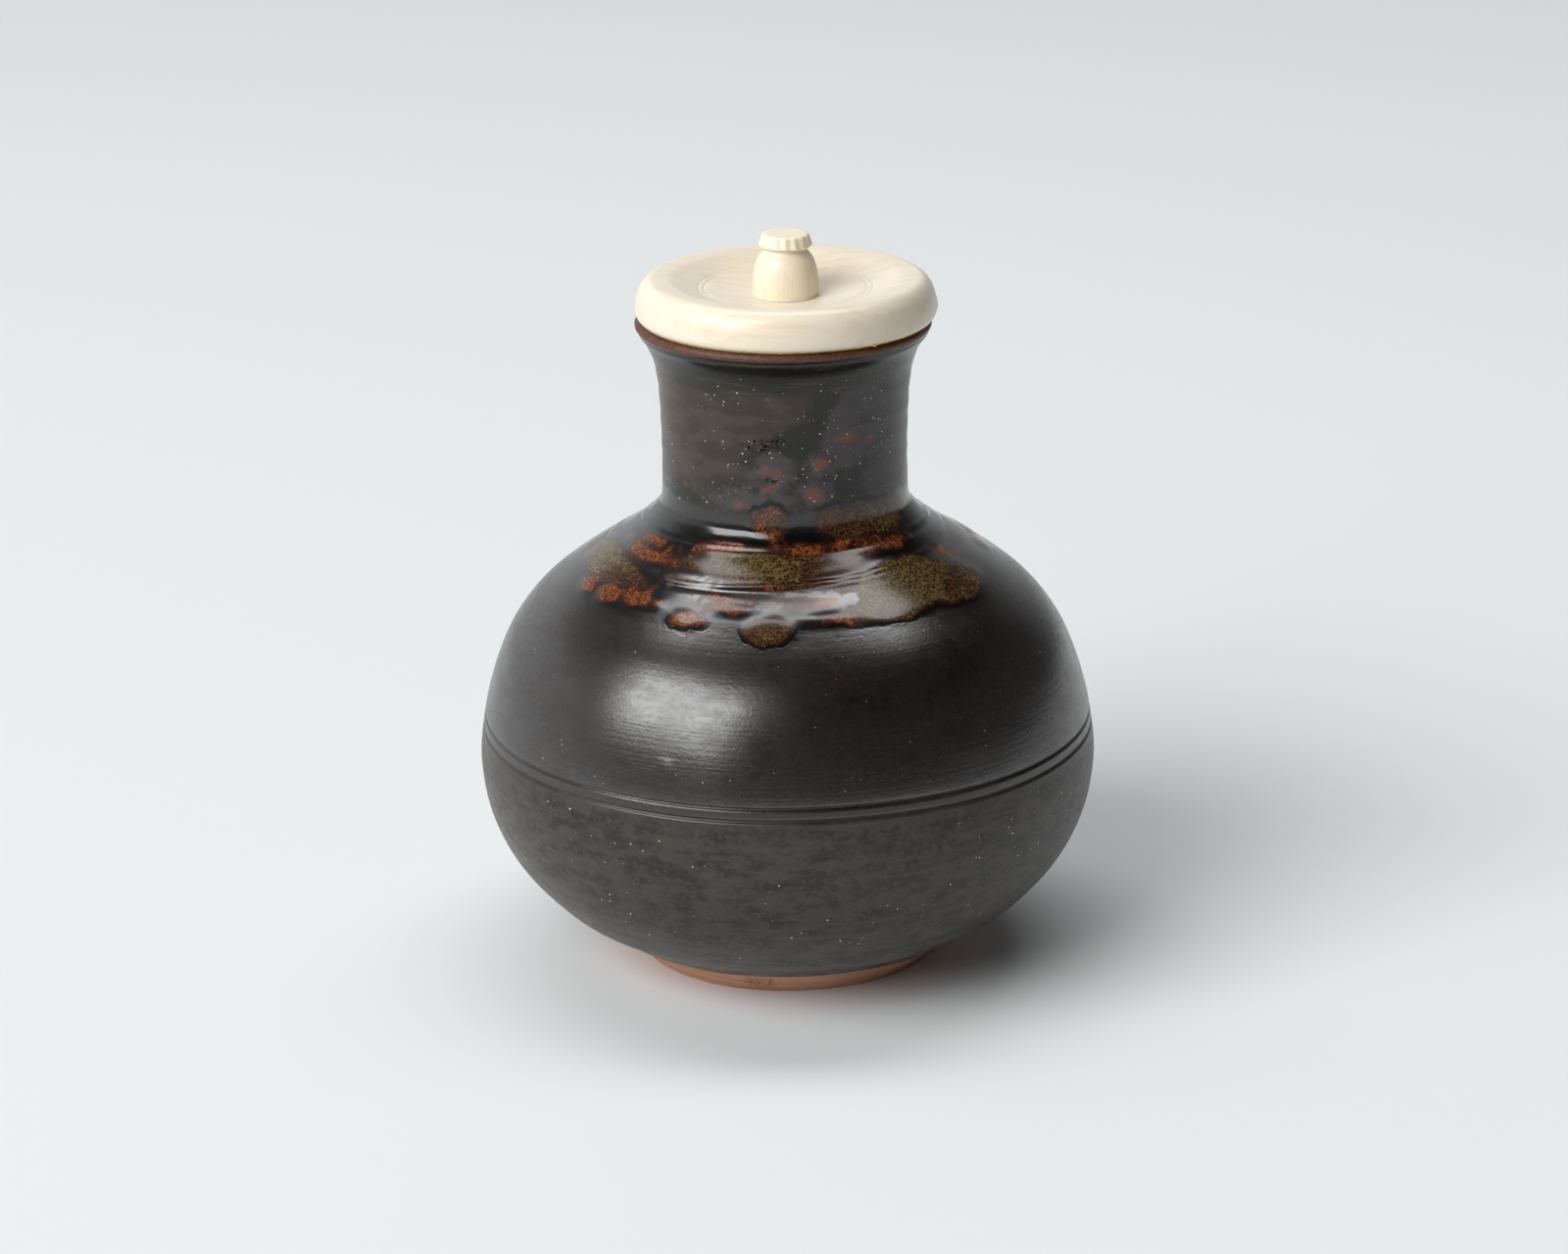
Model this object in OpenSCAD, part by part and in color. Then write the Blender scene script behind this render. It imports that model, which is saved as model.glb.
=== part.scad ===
// Lidded tea caddy of the chaire kind: a wheel-thrown stoneware jar under an iron glaze, and a
// turned ivory-coloured lid whose knob is pegged in and whose underside is lined with gilt paper.
// Millimetres, +Z up. The origin is the centre of the foot's underside, and +X is the jar's right.

/* [Jar] */
// Widest diameter, over the glaze
belly_d = 68; // [64:0.5:74]
// Height from the foot to the top of the lip, over the glaze
jar_h = 72; // [69:0.5:76]
// Diameter of the flat foot
foot_d = 33.4; // [31:0.2:35]
// Narrowest diameter of the neck, over the glaze
neck_d = 26.7; // [25.5:0.1:27.5]
// Diameter of the lip, over the glaze
lip_d = 32.2; // [31.6:0.1:33]
// Thickness of the thrown wall
wall_t = 2.6; // [2:0.1:3]
// Thickness of the floor at its centre
floor_t = 4; // [3:0.5:6]

/* [Turned marks] */
// Height of the upper of the two lines cut round the belly
line_z = 27.6; // [26:0.1:32]
// Distance between the two lines
line_gap = 1.35; // [1.2:0.05:2]
// Depth of each line
line_depth = 0.22; // [0.1:0.01:0.3]
// Depth of the two hollows that leave low steps at the root of the neck
step_depth = 0.08; // [0:0.01:0.2]

/* [Glaze] */
// Thickness of the glaze coat
glaze_t = 0.35; // [0.2:0.05:0.5]
// Height above the foot at which the outer glaze stops
glaze_line = 3.4; // [3:0.1:4]

/* [Lid] */
// Diameter of the lid plate
lid_d = 32.6; // [32:0.1:33.4]
// Height of the plate's rounded rim above its seat
rim_h = 4.2; // [3.6:0.1:5]
// Thickness of the plate at the foot of the knob
plate_t = 2.2; // [1.8:0.1:2.6]
// Diameter of the boss that drops into the mouth
boss_d = 23.2; // [21:0.2:23.4]
// Height of that boss
boss_h = 1.1; // [0.8:0.1:1.4]
// How far the loose lid sits off the jar's axis, towards +X
lid_shift = 0.3; // [0:0.1:0.5]
// Thickness of the backing paper
paper_t = 0.1; // [0.08:0.01:0.15]
// Thickness of the size and gold leaf on the paper
leaf_t = 0.05; // [0.04:0.01:0.08]

/* [Knob] */
// Widest diameter of the knob's dome
knob_d = 7.2; // [6:0.1:8]
// Height of the knob above the plate
knob_h = 6.75; // [6:0.05:8]
// Widest diameter of the fluted cap
cap_d = 5.8; // [5.2:0.1:6.4]
// Height of the fluted cap
cap_h = 1.35; // [1.2:0.05:1.8]
// Number of flutes round the cap
flutes = 16; // [12:1:20]
// Diameter of the peg that holds the knob in the plate
peg_d = 3; // [2:0.1:3.4]

/* [Hidden] */

$fn = 96;
curve_steps = 5;          // straight stretches between two points of a smooth outline
peg_play = 0.02;          // radial glue gap round the peg
chamfer = 0.25;           // bevel round the foot
belly_r = belly_d / 2 - glaze_t;
neck_r = neck_d / 2 - glaze_t;
lip_r = lip_d / 2 - glaze_t;
foot_r = foot_d / 2;
lip_z = jar_h - glaze_t;  // top of the lip's clay
belly_z = 0.307 * jar_h;  // height of the widest point
neck_z = 0.79 * jar_h;    // height of the narrowest point
cavity_r = belly_r - wall_t;
bore_r = neck_r - 0.85 * wall_t;
seat_z = jar_h + leaf_t + paper_t; // underside of the lid plate's rim
lid_r = lid_d / 2;
crown_r = lid_r - 1.9;    // where the rim is highest
dish_r = crown_r - 1.9;   // where the dished top begins
peg_r = peg_d / 2;
boss_r = boss_d / 2;
knob_z = seat_z + plate_t;

// ---- curves -------------------------------------------------------------------------------

// One point of a Catmull-Rom curve between b and c.
function blend(a, b, c, d, t) =
    0.5 * (2 * b + (c - a) * t + (2 * a - 5 * b + 4 * c - d) * t * t
    + (3 * b - a - 3 * c + d) * t * t * t);

// A smooth line through every point of p.
function smooth(p, n = curve_steps) = [
    for (i = [0 : len(p) - 2], k = [0 : n - 1])
        blend(p[max(i - 1, 0)], p[i], p[i + 1], p[min(i + 2, len(p) - 1)], k / n),
    p[len(p) - 1]
];

// Items a to b of a list.
function part(p, a, b) = [for (i = [a : b]) p[i]];

function reversed(p) = [for (i = [len(p) - 1 : -1 : 0]) p[i]];

// Unit vector to the right of a line's direction at point i.
function side(p, i) =
    let (d = p[min(i + 1, len(p) - 1)] - p[max(i - 1, 0)])
    [d.y, -d.x] / norm(d);

// The line p moved t to its right.
function shifted(p, t) = [for (i = [0 : len(p) - 1]) p[i] + t * side(p, i)];

// A V-shaped cut across a wall of radius r at height z.
function cut(r, z, depth, half = 0.28) = [[r, z - half], [r - depth, z], [r, z + half]];

// A quarter of an ellipse from angle a to b, centred on c.
function arc(c, rx, ry, a, b, n) = [for (i = [0 : n]) let (t = a + (b - a) * i / n)
    c + [rx * cos(t), ry * sin(t)]];

// ---- outlines of the jar, from the foot up the outside, over the lip and down the inside -----

// Foot to the lower line.
bowl = smooth([
    [foot_r, chamfer],
    [foot_r + 1.6, 0.55 * glaze_line],
    [foot_r + 3.5, glaze_line],
    [0.667 * belly_r, 0.225 * belly_z],
    [0.768 * belly_r, 0.32 * belly_z],
    [0.9 * belly_r, 0.54 * belly_z],
    [0.974 * belly_r, 0.77 * belly_z],
    [belly_r, belly_z],
    [0.994 * belly_r, line_z - line_gap - 0.5]
]);

// The two cut lines with the plain band between them.
band_r = 0.991 * belly_r;
lines = concat(
    cut(band_r, line_z - line_gap, line_depth),
    cut(band_r - 0.12, line_z, line_depth)
);

// Upper line to the steps, then the steps and the neck, up to the flare under the lip.
shoulder_h = 0.65 * jar_h - line_z;
shoulder = smooth([
    [0.983 * belly_r, line_z + 0.6],
    [0.948 * belly_r, line_z + 0.25 * shoulder_h],
    [0.894 * belly_r, line_z + 0.475 * shoulder_h],
    [0.807 * belly_r, line_z + 0.68 * shoulder_h],
    [0.688 * belly_r, line_z + 0.85 * shoulder_h],
    [neck_r + 7.3, 0.636 * jar_h]
]);
steps = smooth([
    [neck_r + 7.3, 0.636 * jar_h],
    [neck_r + 6.25, 0.645 * jar_h],
    [neck_r + 5.2 - step_depth, 0.653 * jar_h - step_depth],
    [neck_r + 4.2, 0.663 * jar_h],
    [neck_r + 3.1, 0.6735 * jar_h],
    [neck_r + 2.1 - step_depth, 0.685 * jar_h - step_depth],
    [neck_r + 1.3, 0.696 * jar_h],
    [neck_r + 0.65, 0.7055 * jar_h],
    [neck_r + 0.13, 0.7265 * jar_h],
    [neck_r, neck_z],
    [neck_r + 0.1, 0.85 * jar_h],
    [neck_r + 0.35, 0.907 * jar_h],
    [neck_r + 1, 0.948 * jar_h],
    [lip_r - 0.75, lip_z - 1.45]
]);

// The lip: a rounded edge, a flat top that the lid rests on, and the rounded mouth.
edge_h = 0.55;
lip = concat(
    arc([lip_r - edge_h, lip_z - edge_h], edge_h, edge_h, -30, 90, 6),
    [[lip_r - 1.9, lip_z]],
    smooth([
        [lip_r - 2.2, lip_z - 0.08],
        [lip_r - 2.9, lip_z - 1],
        [bore_r + 0.9, 0.935 * jar_h],
        [bore_r + 0.3, 0.88 * jar_h]
    ])
);

// Bare inside: down the neck, round the belly and across the floor.
cavity = smooth([
    [bore_r + 0.3, 0.88 * jar_h],
    [bore_r, neck_z],
    [bore_r + 0.3, 0.72 * jar_h],
    [bore_r + 2.2, 0.672 * jar_h],
    [0.63 * cavity_r, 0.623 * jar_h],
    [0.82 * cavity_r, 0.54 * jar_h],
    [0.945 * cavity_r, 0.44 * jar_h],
    [cavity_r, belly_z],
    [0.93 * cavity_r, floor_t + 0.4 * (belly_z - floor_t)],
    [0.74 * cavity_r, floor_t + 0.15 * (belly_z - floor_t)],
    [0.42 * cavity_r, floor_t + 0.03 * (belly_z - floor_t)],
    [0, floor_t]
]);

// The bowl's first two curves are bare clay; everything from there to the neck's inside is glazed.
bare_last = 2 * curve_steps;
bare_foot = part(bowl, 0, bare_last - 1);
glazed = concat(
    part(bowl, bare_last, len(bowl) - 1), lines,
    part(shoulder, 0, len(shoulder) - 2), steps, lip
);

// ---- jar ------------------------------------------------------------------------------------

module stoneware_jar() {
    color("#b5805c")
        rotate_extrude()
            polygon(concat(
                [[0, 0], [foot_r - chamfer, 0]],
                bare_foot, glazed, part(cavity, 1, len(cavity) - 1)
            ));
}

module glaze_coat() {
    color("#2f2c2b")
        rotate_extrude()
            polygon(concat(shifted(glazed, glaze_t), reversed(glazed)));
}

// ---- lid ------------------------------------------------------------------------------------

// Moves a lid piece to where the lid sits.
module on_seat(z = seat_z) {
    translate([lid_shift, 0, z]) children();
}

// The underside steps down from the seat to the boss; extra grows it outwards for each lining.
function underside(extra, rim) = [
    [0, -boss_h - extra],
    [boss_r + extra, -boss_h - extra],
    [boss_r + extra, -extra],
    [rim, -extra]
];

// A lining of thickness t whose inner face is grown by base.
module lining(base, t, rim) {
    rotate_extrude()
        polygon(concat(underside(base + t, rim), reversed(underside(base, rim))));
}

module lid_plate() {
    hole_r = peg_r + peg_play;
    side_z = 0.9;            // height of the plate's widest point
    edge_r = 0.35;           // how far the plate's lower edge is rounded in
    ring_r = 0.577 * lid_r;  // outer of the two fine rings cut in the dish
    ring_gap = 0.55;
    ring_depth = 0.1;
    dish = smooth([
        [dish_r, rim_h - 0.12],
        [dish_r - 1.3, 0.87 * rim_h],
        [ring_r + 0.35, 0.765 * rim_h],
        [ring_r, 0.755 * rim_h]
    ]);
    seat_r = knob_d / 2 + 0.1; // flat spot under the knob
    floor_slope = (0.755 * rim_h - plate_t) / (ring_r - seat_r);
    function floor_z(r) = plate_t + floor_slope * (r - seat_r);
    rings = [for (r = [ring_r, ring_r - ring_gap], d = [[0, 0], [-0.1, 1], [-0.2, 0]])
        [r + d.x, floor_z(r + d.x) - ring_depth * d.y]];
    color("#f1e7d0")
        on_seat()
            rotate_extrude()
                polygon(concat(
                    [[hole_r, -boss_h], [boss_r, -boss_h], [boss_r, 0]],
                    arc([lid_r - edge_r, side_z], edge_r, side_z, -90, 0, 5),
                    arc([crown_r, side_z], lid_r - crown_r, rim_h - side_z, 9, 90, 12),
                    part(dish, 0, len(dish) - 2), rings,
                    [[seat_r, plate_t], [hole_r, plate_t]]
                ));
}

module lid_knob() {
    knob_r = knob_d / 2;
    cap_r = cap_d / 2;
    waist_r = 0.64 * knob_r;
    dome_h = knob_h - cap_h;
    flute_r = 0.55;
    flute_bite = 0.12;       // how deep each flute cuts into the cap
    dome = smooth([
        [knob_r - 0.12, 0.3],
        [knob_r, 0.24 * dome_h],
        [0.955 * knob_r, 0.5 * dome_h],
        [0.83 * knob_r, 0.76 * dome_h],
        [0.68 * knob_r, 0.89 * dome_h],
        [waist_r, 0.94 * dome_h]
    ]);
    cap = concat(
        [[waist_r, dome_h]],
        arc([cap_r - 0.2, dome_h + 0.2], 0.2, 0.2, -90, 0, 4),
        arc([cap_r - 0.55, knob_h - 0.25], 0.25, 0.25, 15, 90, 4),
        [[0, knob_h]]
    );
    color("#efdfbf")
        on_seat(knob_z)
            union() {
                difference() {
                    rotate_extrude()
                        polygon(concat([[0, 0], [knob_r - 0.05, 0], [knob_r - 0.05, 0.22]], dome, cap));
                    for (i = [0 : flutes - 1])
                        rotate(360 * (i + 0.5) / flutes)
                            translate([cap_r + flute_r - flute_bite, 0, dome_h - 0.01])
                                cylinder(r = flute_r, h = cap_h + 1);
                }
                translate([0, 0, -plate_t - boss_h])
                    cylinder(r = peg_r, h = plate_t + boss_h + 0.01);
            }
}

module backing_paper() {
    color("#c9b98f")
        on_seat()
            lining(0, paper_t, lid_r - 0.45);
}

module gold_leaf() {
    color("#d9ab4a")
        on_seat()
            lining(paper_t, leaf_t, lid_r - 0.45);
}

stoneware_jar();
glaze_coat();
lid_plate();
lid_knob();
backing_paper();
gold_leaf();
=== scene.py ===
# %% [markdown]
# # A lidded tea caddy
# The object is a small stoneware jar for powdered tea, thrown on a wheel, dipped in an iron glaze and
# fired with wood ash falling on its shoulder. Its loose lid is turned from an ivory-like blank.
# Every piece comes off a wheel or a lathe, so one Geometry Nodes wheel makes them all, and each piece
# is then worked by hand, in mesh code, as the potter or the turner did.

# %% Load the fixed frame
import math

import bpy
import numpy as np
from mathutils import Matrix, Vector
from mathutils.bvhtree import BVHTree


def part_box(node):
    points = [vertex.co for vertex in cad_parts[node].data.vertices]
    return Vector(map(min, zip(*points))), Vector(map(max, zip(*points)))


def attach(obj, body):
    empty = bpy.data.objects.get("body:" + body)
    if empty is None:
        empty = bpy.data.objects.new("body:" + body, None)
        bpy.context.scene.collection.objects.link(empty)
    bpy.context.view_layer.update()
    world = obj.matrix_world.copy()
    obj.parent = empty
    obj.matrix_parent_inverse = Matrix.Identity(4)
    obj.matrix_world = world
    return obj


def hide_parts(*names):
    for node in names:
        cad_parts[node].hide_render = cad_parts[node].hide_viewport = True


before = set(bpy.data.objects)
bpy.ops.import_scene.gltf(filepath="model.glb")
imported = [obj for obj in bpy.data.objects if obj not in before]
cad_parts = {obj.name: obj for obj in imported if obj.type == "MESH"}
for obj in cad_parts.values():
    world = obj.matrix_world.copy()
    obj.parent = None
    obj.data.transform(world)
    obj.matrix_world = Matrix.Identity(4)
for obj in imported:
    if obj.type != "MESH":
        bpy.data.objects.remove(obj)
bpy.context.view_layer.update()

MM = 0.001
jar_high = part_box("glaze_coat")[1]
jar_top = jar_high.z / MM
belly_radius = jar_high.x / MM
print(f"jar: {jar_top:.1f} mm high, {2 * belly_radius:.1f} mm across")

# %% [markdown]
# ## Camera
# A long lens a good half metre away, looking down a little, shows such a small jar without bulging
# it. The camera leans by about half a degree, as it does on a tripod that was levelled by eye.

# %% Set the camera
LENS_MM = 106.1
SENSOR_MM = 36.0
VIEW_DISTANCE = 510.0        # from the lens to the point it aims at, in mm
VIEW_DOWN = math.radians(18.64)
VIEW_LEAN = math.radians(0.594)
AIM = Vector((-0.27, 0.0, 36.5))

ahead = Vector((0.0, math.cos(VIEW_DOWN), -math.sin(VIEW_DOWN)))
level_up = Vector((0.0, math.sin(VIEW_DOWN), math.cos(VIEW_DOWN)))
right = Vector((1.0, 0.0, 0.0)) * math.cos(VIEW_LEAN) - level_up * math.sin(VIEW_LEAN)
up = level_up * math.cos(VIEW_LEAN) + Vector((1.0, 0.0, 0.0)) * math.sin(VIEW_LEAN)
turn = Matrix((right, up, -ahead)).transposed().to_4x4()

lens = bpy.data.cameras.new("camera")
lens.lens = LENS_MM
lens.sensor_width = SENSOR_MM
camera = bpy.data.objects.new("camera", lens)
camera.matrix_world = Matrix.Translation((AIM - ahead * VIEW_DISTANCE) * MM) @ turn
bpy.context.scene.collection.objects.link(camera)
bpy.context.scene.camera = camera
print("camera at", [round(c, 3) for c in camera.location])

# %% [markdown]
# ## Small tools
# A few helpers are used all the way through. One turns a paint chip's hex value into the linear colour
# that Blender mixes, one adds a node with its settings and links, and one lays a finish over another,
# as a potter lays one glaze over another. The rest give noise at a real scale, masks, and the last
# links of a finish.

# %% Colour, node and finish helpers
def chip(hex_value):
    """The linear colour of an sRGB hex value."""
    channels = [int(hex_value[i:i + 2], 16) / 255 for i in (1, 3, 5)]
    linear = [c / 12.92 if c <= 0.04045 else ((c + 0.055) / 1.055) ** 2.4 for c in channels]
    return (*linear, 1.0)


def add(tree, kind, inputs=None, **settings):
    """Adds a node to a tree. settings are its properties; inputs are values, or sockets to link."""
    node = tree.nodes.new(kind)
    for name, value in settings.items():
        setattr(node, name, value)
    for key, value in (inputs or {}).items():
        if isinstance(value, bpy.types.NodeSocket):
            tree.links.new(value, node.inputs[key])
        else:
            node.inputs[key].default_value = value
    return node


def lay_over(tree, look, mask, colour=None, roughness=None, shine=None):
    """Lays a finish over the look where the mask is 1. Colours are hex values or sockets."""
    if colour is not None:
        colour = chip(colour) if isinstance(colour, str) else colour
        blend = add(tree, "ShaderNodeMix", {0: mask, 6: look["colour"], 7: colour}, data_type="RGBA")
        look["colour"] = blend.outputs[2]
    for name, value in (("roughness", roughness), ("shine", shine)):
        if value is not None:
            blend = add(tree, "ShaderNodeMix", {0: mask, 2: look[name], 3: value})
            look[name] = blend.outputs[0]


def new_finish(name, **settings):
    """A material with one Principled shader, and its tree. Settings are that shader's own values."""
    finish = bpy.data.materials.new(name)
    finish.use_nodes = True
    shader = finish.node_tree.nodes["Principled BSDF"]
    for socket, value in settings.items():
        shader.inputs[socket.replace("_", " ")].default_value = value
    return finish, finish.node_tree


def grain(tree, per_mm, detail=2.0, stretch=(1, 1, 1), seed=0.0, rough=0.5):
    """Noise from 0 to 1 at a real scale: per_mm lumps a millimetre, stretched along X, Y or Z."""
    place = add(tree, "ShaderNodeTexCoord").outputs["Object"]
    in_mm = add(tree, "ShaderNodeMapping", {"Vector": place, "Scale": tuple(s / MM for s in stretch)})
    noise = add(tree, "ShaderNodeTexNoise", {
        "Vector": in_mm.outputs[0], "W": seed, "Scale": per_mm, "Detail": detail,
        "Roughness": rough}, noise_dimensions="4D")
    return noise.outputs["Fac"]


def mask(tree, value, low, high, weakest=0.0, strongest=1.0, within=None):
    """Goes smoothly from weakest to strongest as the value goes from low to high, within a mask."""
    step = add(tree, "ShaderNodeMapRange", {0: value, 1: low, 2: high, 3: weakest, 4: strongest},
               interpolation_type="SMOOTHSTEP").outputs[0]
    if within is None:
        return step
    return add(tree, "ShaderNodeMath", {0: within, 1: step}, operation="MULTIPLY").outputs[0]


def frayed(tree, value, noise, by):
    """A value, or the field stored on the vertices under that name, pushed up and down by a noise."""
    if isinstance(value, str):
        value = add(tree, "ShaderNodeAttribute", attribute_name=value).outputs["Fac"]
    centred = add(tree, "ShaderNodeMath", {0: noise, 1: 0.5}, operation="SUBTRACT").outputs[0]
    pushed = add(tree, "ShaderNodeMath", {0: centred, 1: by, 2: value}, operation="MULTIPLY_ADD")
    return pushed.outputs[0]


def finished(finish, look, relief, strength, depth_mm):
    """Links the look and its fine relief to the finish's shader."""
    tree = finish.node_tree
    shader = tree.nodes["Principled BSDF"]
    bump = add(tree, "ShaderNodeBump", {
        "Height": relief, "Strength": strength, "Distance": depth_mm * MM}).outputs[0]
    sockets = {"colour": "Base Color", "roughness": "Roughness", "shine": "Specular IOR Level"}
    for name, value in look.items():
        tree.links.new(value, shader.inputs[sockets[name]])
    tree.links.new(bump, shader.inputs["Normal"])
    return finish


# %% [markdown]
# ## Working on meshes
# Every piece is worked by hand after it is turned: its vertices are read in millimetres, moved, and
# written back. A finished object stays at the origin and keeps its place in its mesh.

# %% Mesh helpers
def shown(name, data):
    """A new object with this mesh or light, in the scene."""
    thing = bpy.data.objects.new(name, data)
    bpy.context.scene.collection.objects.link(thing)
    return thing


def vertices_of(piece):
    """x, y and z of each vertex in mm, its distance from the axis, and its angle from the front."""
    place = np.empty(len(piece.data.vertices) * 3, np.float32)
    piece.data.vertices.foreach_get("co", place)
    x, y, z = (place.reshape(-1, 3).astype(float) / MM).T
    return x, y, z, np.hypot(x, y), np.arctan2(x, -y)


def put_back(piece, x, y, z):
    """Moves each vertex to its new place, in mm."""
    place = np.stack([x, y, z], axis=1) * MM
    piece.data.vertices.foreach_set("co", place.astype(np.float32).ravel())
    piece.data.update()


def new_tree(name, ports):
    """An empty Geometry Nodes tree with these inputs, and each input's identifier."""
    tree = bpy.data.node_groups.new(name, "GeometryNodeTree")
    names = {}
    for port, kind in ports.items():
        socket = tree.interface.new_socket(name=port, in_out="INPUT", socket_type="NodeSocket" + kind)
        names[port] = socket.identifier
    tree.interface.new_socket(name="Result", in_out="OUTPUT", socket_type="NodeSocketGeometry")
    return tree, names, add(tree, "NodeGroupInput").outputs


def close_tree(tree, geometry, finish):
    """Ends a tree: instances made real, the finish set."""
    real = add(tree, "GeometryNodeRealizeInstances", {"Geometry": geometry}).outputs[0]
    done = add(tree, "GeometryNodeSetMaterial", {"Geometry": real, "Material": finish}).outputs[0]
    add(tree, "NodeGroupOutput", {"Result": done})


# %% [markdown]
# ## Calipers
# The frame holds the true sizes, so the outlines aren't typed in again: they are measured on the CAD
# pieces as a maker measures a sample, with calipers outside, inside and from the top. Each measure
# is a ray that meets the piece's surface.

# %% Measure a turned CAD piece
class Calipers:
    """Measures one turned CAD node. Everything is in millimetres from the node's own axis."""

    REACH = 100.0

    def __init__(self, node):
        low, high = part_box(node)
        self.axis = (low.x + high.x) / 2 / MM
        self.low, self.high = low.z / MM, high.z / MM
        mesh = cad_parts[node].data
        self.surface = BVHTree.FromPolygons([v.co / MM for v in mesh.vertices],
                                            [tuple(p.vertices) for p in mesh.polygons])

    def outside(self, height):
        hit = self.surface.ray_cast(Vector((self.axis, -self.REACH, height)), Vector((0, 1, 0)))[0]
        return -hit.y

    def inside(self, height):
        hit = self.surface.ray_cast(Vector((self.axis, 0, height)), Vector((0, -1, 0)))[0]
        return -hit.y

    def top(self, radius):
        hit = self.surface.ray_cast(Vector((self.axis, -radius, self.REACH)), Vector((0, 0, -1)))[0]
        return hit.z


def eased(points, reach):
    """The outline with its corners eased over a few points, ends kept."""
    points = np.array(points, float)
    for _ in range(reach):
        points[1:-1] = (points[:-2] + 2 * points[1:-1] + points[2:]) / 4
    return points


def respaced(points, spacing):
    """The outline with new points along it. spacing(r, z) is the distance wanted there."""
    steps = np.hypot(*np.diff(points, axis=0).T)
    along = np.concatenate([[0], np.cumsum(steps)])
    places = [0.0]
    while places[-1] < along[-1]:
        r, z = (np.interp(places[-1], along, points[:, k]) for k in (0, 1))
        places.append(places[-1] + spacing(r, z))
    places = np.array(places) * along[-1] / places[-1]
    return np.stack([np.interp(places, along, points[:, k]) for k in (0, 1)], axis=1)


# %% [markdown]
# ## The wheel
# A surface of revolution follows a rule, so a Geometry Nodes tree makes it: the outline is swept
# round a circle, its poles are welded, and a slow noise wobbles the wall by a few hundredths of a
# millimetre, as fingers do. The tree's inputs are the sizes that differ from piece to piece.

# %% Build the wheel's node tree
RAIL = 0.01              # radius of the circle that carries the outline, in metres
WELD = 2e-6              # vertices closer than this become one, in metres
WOBBLES_PER_METRE = 45.0


def build_wheel():
    tree, names, given = new_tree("potters_wheel", {
        "Outline": "Geometry", "Segments": "Int", "Rail radius": "Float", "Wobble": "Float",
        "Wobbles per metre": "Float", "Seed": "Float", "Finish": "Material"})
    outline = add(tree, "GeometryNodeMeshToCurve", {"Mesh": given["Outline"]}).outputs[0]
    rail = add(tree, "GeometryNodeCurvePrimitiveCircle", {
        "Resolution": given["Segments"], "Radius": given["Rail radius"]}).outputs[0]
    swept = add(tree, "GeometryNodeCurveToMesh", {"Curve": rail, "Profile Curve": outline}).outputs[0]
    welded = add(tree, "GeometryNodeMergeByDistance", {"Geometry": swept, "Distance": WELD}).outputs[0]
    noise = add(tree, "ShaderNodeTexNoise", {
        "W": given["Seed"], "Scale": given["Wobbles per metre"], "Detail": 1.0},
        noise_dimensions="4D").outputs["Fac"]
    centred = add(tree, "ShaderNodeMath", {0: noise, 1: 0.5}, operation="SUBTRACT").outputs[0]
    depth = add(tree, "ShaderNodeMath", {0: centred, 1: given["Wobble"]},
                operation="MULTIPLY").outputs[0]
    place = add(tree, "GeometryNodeInputPosition").outputs[0]
    flat = add(tree, "ShaderNodeVectorMath", {0: place, 1: (1.0, 1.0, 0.0)},
               operation="MULTIPLY").outputs[0]
    outward = add(tree, "ShaderNodeVectorMath", {0: flat}, operation="NORMALIZE").outputs[0]
    push = add(tree, "ShaderNodeVectorMath", {0: outward, "Scale": depth}, operation="SCALE").outputs[0]
    moved = add(tree, "GeometryNodeSetPosition", {"Geometry": welded, "Offset": push}).outputs[0]
    close_tree(tree, moved, given["Finish"])
    return tree, names


def baked(name, start, tree, settings):
    """Runs a Geometry Nodes tree on an object and returns the result as a plain mesh object."""
    modifier = start.modifiers.new("tree", "NODES")
    modifier.node_group = tree
    for identifier, value in settings.items():
        modifier[identifier] = value
    bpy.context.view_layer.update()
    result = start.evaluated_get(bpy.context.evaluated_depsgraph_get())
    mesh = bpy.data.meshes.new_from_object(result)
    mesh.name = name
    start.modifiers.remove(modifier)
    bpy.data.objects.remove(start)
    return shown(name, mesh)


wheel, wheel_ports = build_wheel()


def turned(name, outline, finish, segments, closed=False, wobble=0.0, seed=1.0):
    """Turns an outline of (radius, height) points, in mm, given clockwise from the axis or as a loop."""
    points = [(r * MM - RAIL, -z * MM, 0.0) for r, z in outline]
    edges = [(i, i + 1) for i in range(len(points) - 1)]
    if closed:
        edges.append((len(points) - 1, 0))
    sketch = bpy.data.meshes.new(name + "_outline")
    sketch.from_pydata(points, edges, [])
    piece = baked(name, shown(name + "_outline", sketch), wheel, {
        wheel_ports["Segments"]: segments, wheel_ports["Rail radius"]: RAIL,
        wheel_ports["Wobble"]: wobble * MM, wheel_ports["Wobbles per metre"]: WOBBLES_PER_METRE,
        wheel_ports["Seed"]: seed, wheel_ports["Finish"]: finish})
    piece.data.shade_smooth()
    print(f"{name}: {len(piece.data.polygons)} faces")
    return piece


# %% [markdown]
# ## The jar's outline
# The outside is measured every quarter of a millimetre. The two cut lines are left out here and cut
# again later, because on the real jar they waver a little, and a turned groove can't. The points are
# then respaced: close together where there is fine work, and further apart on the plain belly.

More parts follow.
